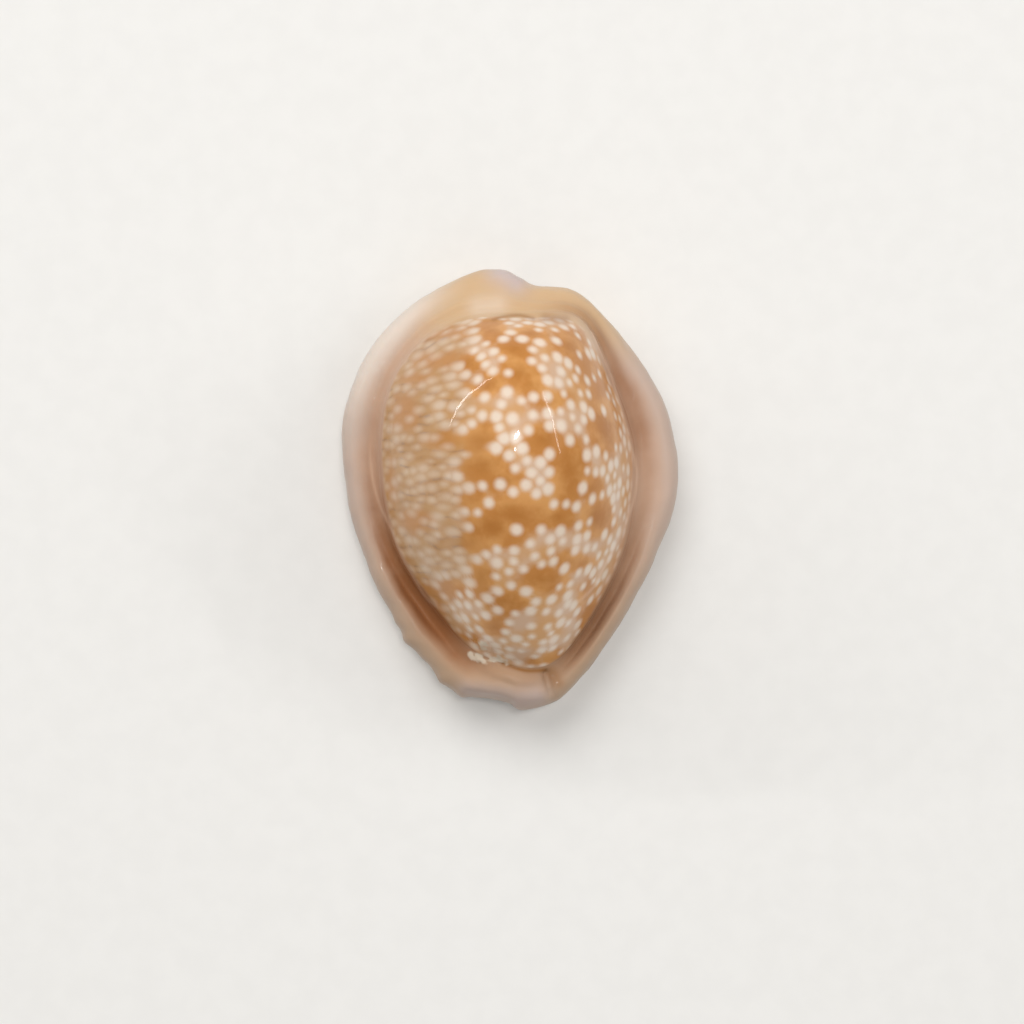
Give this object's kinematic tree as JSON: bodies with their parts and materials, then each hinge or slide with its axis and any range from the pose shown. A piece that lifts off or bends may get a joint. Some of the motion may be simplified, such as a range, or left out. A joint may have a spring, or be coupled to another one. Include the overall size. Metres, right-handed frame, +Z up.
{
  "type": "cowrie shell",
  "caption": "Small cowrie shell with a domed back, a thick raised margin and a toothed slit along its flat base.",
  "frame": {"origin": "centre of the footprint, on the surface that the shell lies on", "axes": "+Z up through the crown of the back, +Y along the shell to its blunt posterior end, +X to the columellar side; -X is the side of the outer lip"},
  "size_m": [0.0186, 0.024, 0.0122],
  "materials": {
    "shell": "gloss"
  },
  "bodies": {
    "root": {"shell": "shell"}
  },
  "joints": []
}
